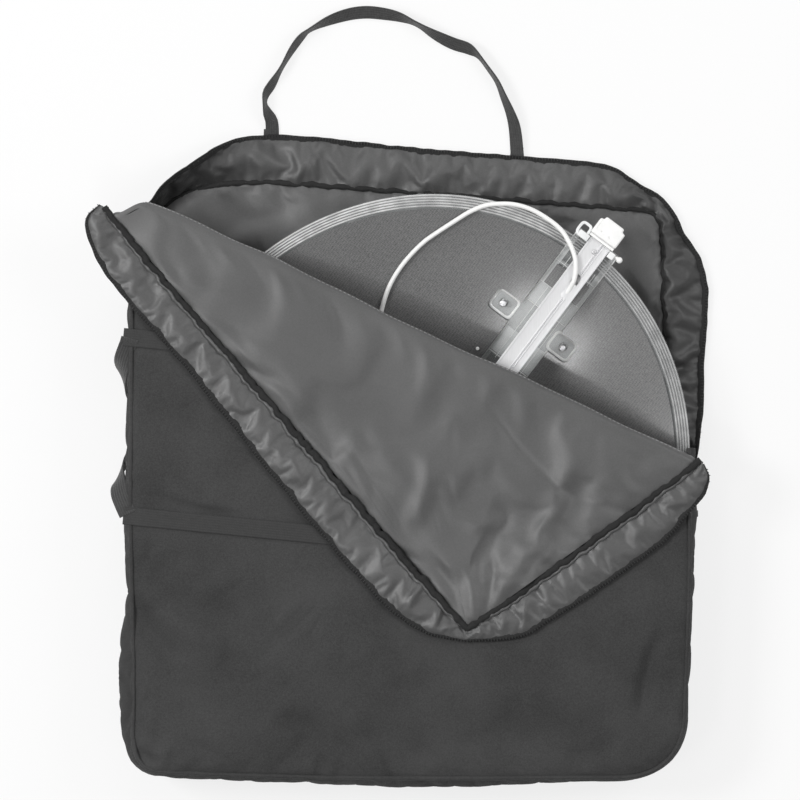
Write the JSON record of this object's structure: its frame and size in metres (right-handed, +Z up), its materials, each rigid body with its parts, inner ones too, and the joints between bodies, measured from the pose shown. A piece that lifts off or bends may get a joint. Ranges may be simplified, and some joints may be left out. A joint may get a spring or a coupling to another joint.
{
  "type": "portable satellite dish in carry bag",
  "caption": "Clear oval dish with wire mesh, sliding arm and coaxial lead, lying in a padded zip carry bag whose front corner is folded open.",
  "frame": {"origin": "on the flat underside of the bag's back, below the middle of the bag", "axes": "+Z up out of the folded-open front, +Y to the top carry handle, +X to the side with the feed head"},
  "size_m": [0.8743, 1.0886, 0.1319],
  "materials": {
    "outer_fabric": "matt woven",
    "lining": "satin woven",
    "zip": "ribbed tape",
    "webbing": "ribbed webbing",
    "zip_metal": "dark plated",
    "clear_plastic": "clear moulded",
    "wire_mesh": "fine wire",
    "aluminium": "satin",
    "white_plastic": "moulded",
    "steel": "nickel plated",
    "cable_sheath": "smooth"
  },
  "bodies": {
    "bag": {"back_panel": "outer_fabric", "front_panel": "outer_fabric", "rear_wall_left": "outer_fabric", "rear_wall_left_top_corner": "outer_fabric", "rear_wall_top": "outer_fabric", "rear_wall_right_top_corner": "outer_fabric", "rear_wall_right_open": "outer_fabric", "rear_wall_right_turn": "outer_fabric", "rear_wall_right": "outer_fabric", "rear_wall_right_bottom_corner": "outer_fabric", "rear_wall_bottom": "outer_fabric", "rear_wall_left_bottom_corner": "outer_fabric", "front_wall_right": "outer_fabric", "front_wall_bottom": "outer_fabric", "front_wall_left": "outer_fabric", "zip_tape_left": "zip", "zip_tape_top": "zip", "zip_tape_right_top": "zip", "zip_tape_right": "zip", "zip_tape_bottom": "zip", "handle_tab_left": "webbing", "handle_tab_right": "webbing", "side_handle_leg_upper": "webbing", "side_handle_leg_lower": "webbing"},
    "flap": {"flap_panel": "lining", "flap_piping_long": "zip", "flap_piping_short": "zip", "flap_wall_long": "lining", "flap_wall_short": "lining", "flap_zip_tape_long": "zip", "flap_zip_tape_short": "zip"},
    "dish": {"reflector": "clear_plastic", "wire_mesh": "wire_mesh", "rim": "clear_plastic", "bracket": "clear_plastic", "tab_screw_left": "steel", "tab_screw_right": "steel", "tab_nut_left": "steel", "tab_nut_right": "steel", "arm_cradle": "clear_plastic", "cradle_knob": "white_plastic", "coax_cable": "cable_sheath", "coax_connector": "steel"},
    "arm": {"arm": "aluminium", "snap_button": "steel", "arm_plug": "white_plastic", "arm_collar": "white_plastic"},
    "head": {"feed_head": "white_plastic"},
    "top_handle_band": {"top_handle": "webbing"},
    "side_handle_band": {"side_handle": "webbing"},
    "right_slider": {"zip_slider_right": "zip_metal"},
    "right_pull": {"zip_pull_right": "zip_metal"},
    "left_slider": {"zip_slider_left": "zip_metal"},
    "left_pull": {"zip_pull_left": "zip_metal"}
  },
  "joints": [
    {"name": "flap_fold", "type": "hinge", "parent": "bag", "child": "flap", "pos_m": [-0.434, 0.356, 0.12231], "axis": [-0.9209, 0.3898, 0], "range_deg": [0, 180]},
    {"name": "dish_slide", "type": "slide", "parent": "bag", "child": "dish", "axis": [0, 1, 0], "range_m": [0, 0.9]},
    {"name": "arm_slide", "type": "slide", "parent": "dish", "child": "arm", "axis": [0.6, 0.8, 0], "range_m": [0, 0.3], "deforming": ["coax_cable"]},
    {"name": "head_tilt", "type": "hinge", "parent": "arm", "child": "head", "pos_m": [0.26346, 0.30678, 0.11001], "axis": [0.8, -0.6, 0], "range_deg": [0, 60]},
    {"name": "top_handle_swing", "type": "hinge", "parent": "bag", "child": "top_handle_band", "pos_m": [-0.02279, 0.44848, 0.0028], "axis": [-0.9971, 0.0756, 0], "range_deg": [-90, 0]},
    {"name": "side_handle_swing", "type": "hinge", "parent": "bag", "child": "side_handle_band", "pos_m": [-0.4088, 0.0475, 0.12071], "axis": [0, 1, 0], "range_deg": [0, 120]},
    {"name": "right_slider_run", "type": "slide", "parent": "bag", "child": "right_slider", "axis": [-0.0163, -0.9999, 0], "range_m": [0, 0.15]},
    {"name": "right_pull_swing", "type": "hinge", "parent": "right_slider", "child": "right_pull", "pos_m": [0.3977, -0.075, 0.05506], "axis": [0, -1, 0], "range_deg": [0, 90]},
    {"name": "left_slider_run", "type": "slide", "parent": "bag", "child": "left_slider", "axis": [0, -1, 0], "range_m": [0, 0.1]},
    {"name": "left_pull_swing", "type": "hinge", "parent": "left_slider", "child": "left_pull", "pos_m": [-0.406, 0.296, 0.05506], "axis": [0, 1, 0], "range_deg": [0, 90]}
  ]
}
